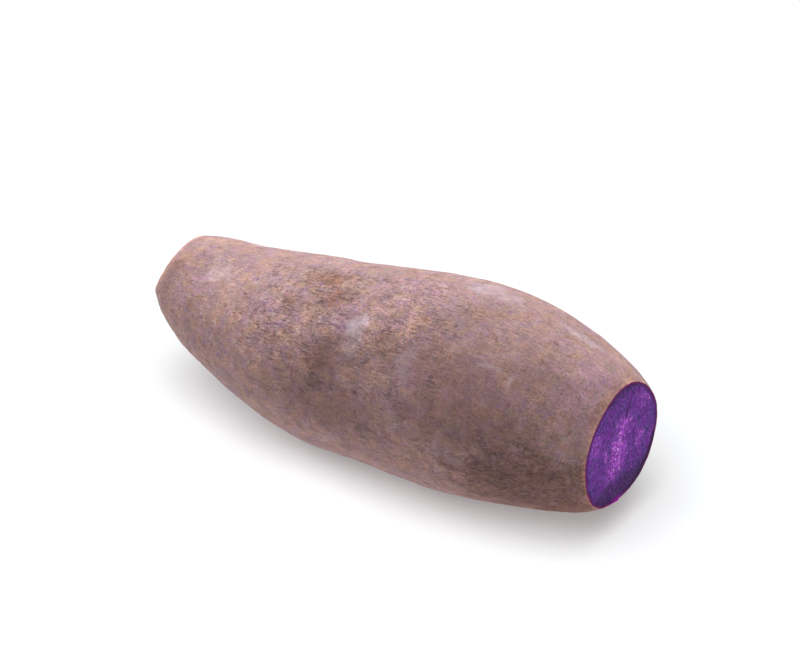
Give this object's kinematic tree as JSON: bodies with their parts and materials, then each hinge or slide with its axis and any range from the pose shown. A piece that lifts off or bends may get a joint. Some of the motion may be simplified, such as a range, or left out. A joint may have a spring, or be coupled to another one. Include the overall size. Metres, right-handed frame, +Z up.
{
  "type": "purple yam",
  "caption": "Whole purple yam lying on its side, with both ends cut off flat: a long tapering body with rough brownish skin and violet flesh on the cut faces.",
  "frame": {"origin": "under the middle of the yam's bounding box, on the surface that it rests on", "axes": "+X along the yam's length, towards the larger cut face; +Z up; +Y across, by the right-hand rule"},
  "size_m": [0.1936, 0.0766, 0.0719],
  "materials": {
    "yam_skin": "matt, rough and dry, like thin bark"
  },
  "bodies": {
    "root": {"purple_yam": "yam_skin"}
  },
  "joints": []
}
